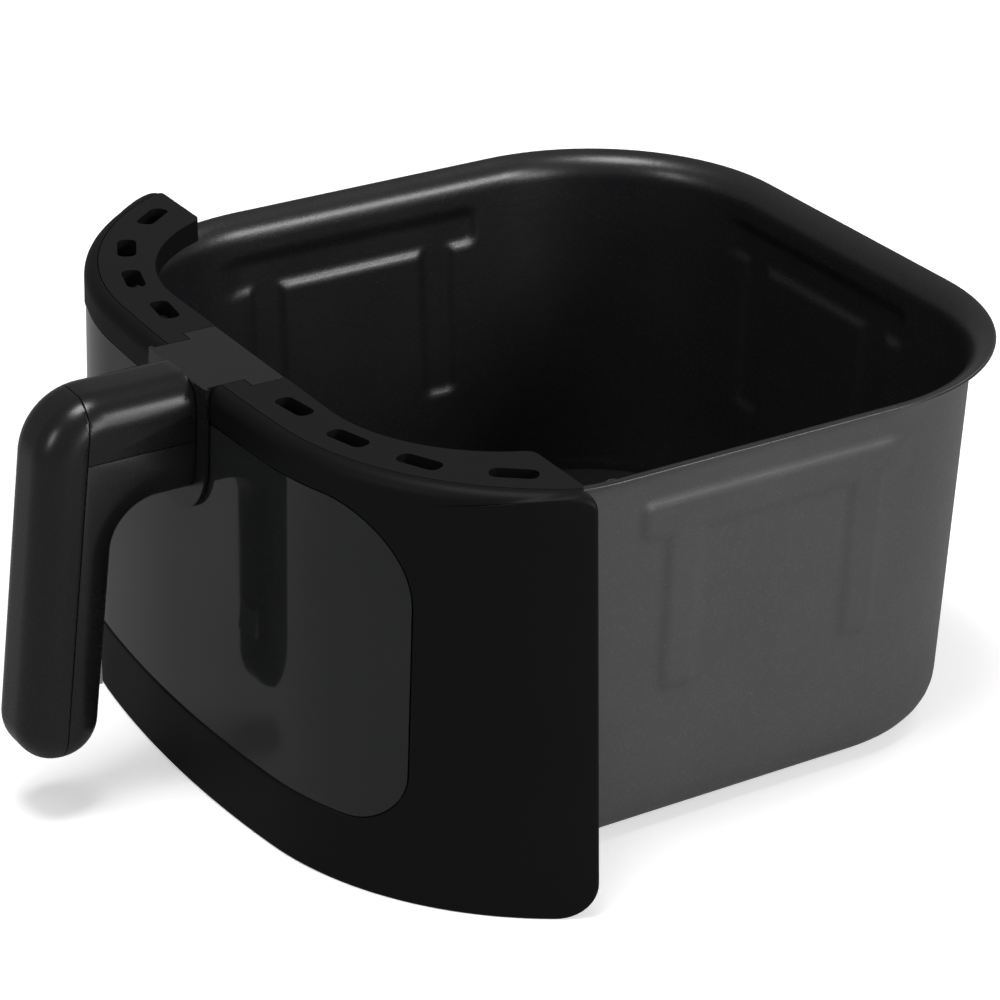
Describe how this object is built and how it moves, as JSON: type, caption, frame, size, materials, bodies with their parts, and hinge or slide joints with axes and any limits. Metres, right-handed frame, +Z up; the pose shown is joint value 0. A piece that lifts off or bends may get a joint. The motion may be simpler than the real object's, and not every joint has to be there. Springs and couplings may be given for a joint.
{
  "type": "air fryer drawer",
  "caption": "Drawer of a basket air fryer: a flared steel pan with a lift-out crisper plate, a curved black front with a smoked window, a slotted top frame and a hanging grip.",
  "frame": {"origin": "middle of the whole drawer's box, on the level of the pan's underside", "axes": "+Z up, -Y towards the grip and the front, +X to the right as seen from the front"},
  "size_m": [0.294, 0.3256, 0.143],
  "materials": {
    "nonstick_coating": "satin",
    "matte_black_plastic": "matte",
    "satin_black_plastic": "satin",
    "smoked_glass": "gloss",
    "clear_glass": "gloss",
    "grey_silicone": "matte",
    "bare_steel": "satin"
  },
  "bodies": {
    "drawer": {"pan": "nonstick_coating", "front_cover": "matte_black_plastic", "rear_liner": "matte_black_plastic", "top_frame": "matte_black_plastic", "root_plate": "satin_black_plastic", "handle_core": "satin_black_plastic", "neck_cover": "satin_black_plastic", "grip_cover": "satin_black_plastic", "window_pane": "smoked_glass", "window_seal": "grey_silicone", "inner_window_glass": "clear_glass", "inner_window_gasket": "grey_silicone", "inner_window_retainer": "bare_steel", "handle_bracket": "bare_steel", "handle_spine": "bare_steel", "handle_bolt_left": "bare_steel", "handle_bolt_right": "bare_steel", "retainer_screw_left_low": "bare_steel", "bracket_rivet_left_low": "bare_steel", "retainer_screw_left_high": "bare_steel", "bracket_rivet_left_high": "bare_steel", "retainer_screw_right_low": "bare_steel", "bracket_rivet_right_low": "bare_steel", "retainer_screw_right_high": "bare_steel", "bracket_rivet_right_high": "bare_steel"},
    "crisper": {"crisper_plate": "nonstick_coating", "crisper_foot_left_front": "grey_silicone", "crisper_foot_left_back": "grey_silicone", "crisper_foot_right_front": "grey_silicone", "crisper_foot_right_back": "grey_silicone"}
  },
  "joints": [
    {"name": "crisper_lift", "type": "slide", "parent": "drawer", "child": "crisper", "axis": [0, 0, 1], "range_m": [0, 0.15]}
  ]
}
